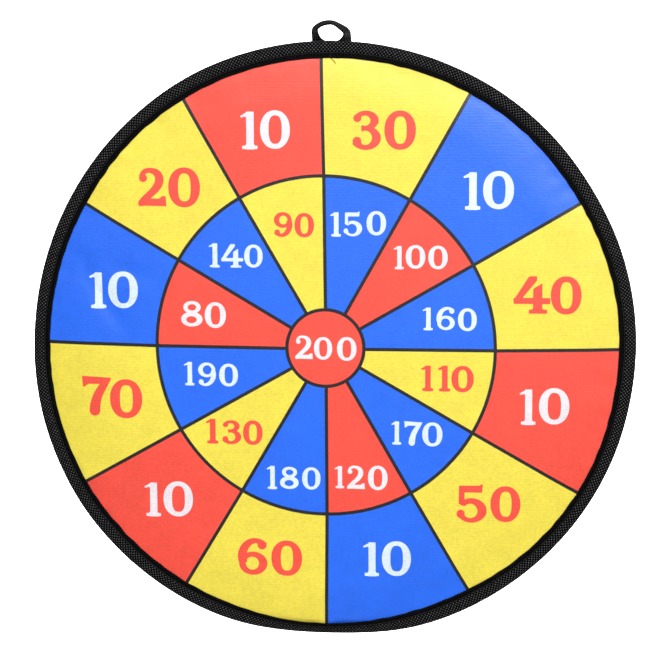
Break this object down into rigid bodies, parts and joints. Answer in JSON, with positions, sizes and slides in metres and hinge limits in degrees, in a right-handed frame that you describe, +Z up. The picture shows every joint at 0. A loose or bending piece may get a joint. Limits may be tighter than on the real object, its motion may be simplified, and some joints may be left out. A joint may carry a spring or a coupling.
{
  "type": "magnetic dartboard",
  "caption": "Round cloth-faced padded target with printed number sectors, a sewn tape binding round its edge and a fold-over tape loop to hang it by.",
  "frame": {"origin": "the hanging eye, the highest point inside the tape loop, where a nail bears", "axes": "+Z up along the hung board, +Y towards the wall, so the printed face looks along -Y, and +X to the viewer's right"},
  "size_m": [0.36, 0.0122, 0.3715],
  "materials": {
    "face_cloth": "brushed cloth with dyed sectors and numbers",
    "foam": "open-cell foam",
    "ferrous_sheet": "matt, iron-filled",
    "back_cloth": "point-bonded non-woven",
    "binding_tape": "point-bonded non-woven tape",
    "thread": "polyester sewing thread",
    "loop_tape": "non-woven tape folded double"
  },
  "bodies": {
    "board": {"face_cloth": "face_cloth", "foam_pad": "foam", "ferrous_sheet": "ferrous_sheet", "back_cloth": "back_cloth", "binding_tape": "binding_tape", "binding_thread": "thread", "bobbin_thread": "thread", "loop_end_left": "loop_tape", "loop_end_right": "loop_tape", "loop_tack_left": "thread", "loop_tack_right": "thread"},
    "loop": {"hanging_loop": "loop_tape"}
  },
  "joints": [
    {"name": "loop_flex", "type": "hinge", "parent": "board", "child": "loop", "pos_m": [0, 0.00165, -0.01], "axis": [1, 0, 0], "range_deg": [-120, 20], "stiffness_Nm_per_rad": 0.0004}
  ]
}
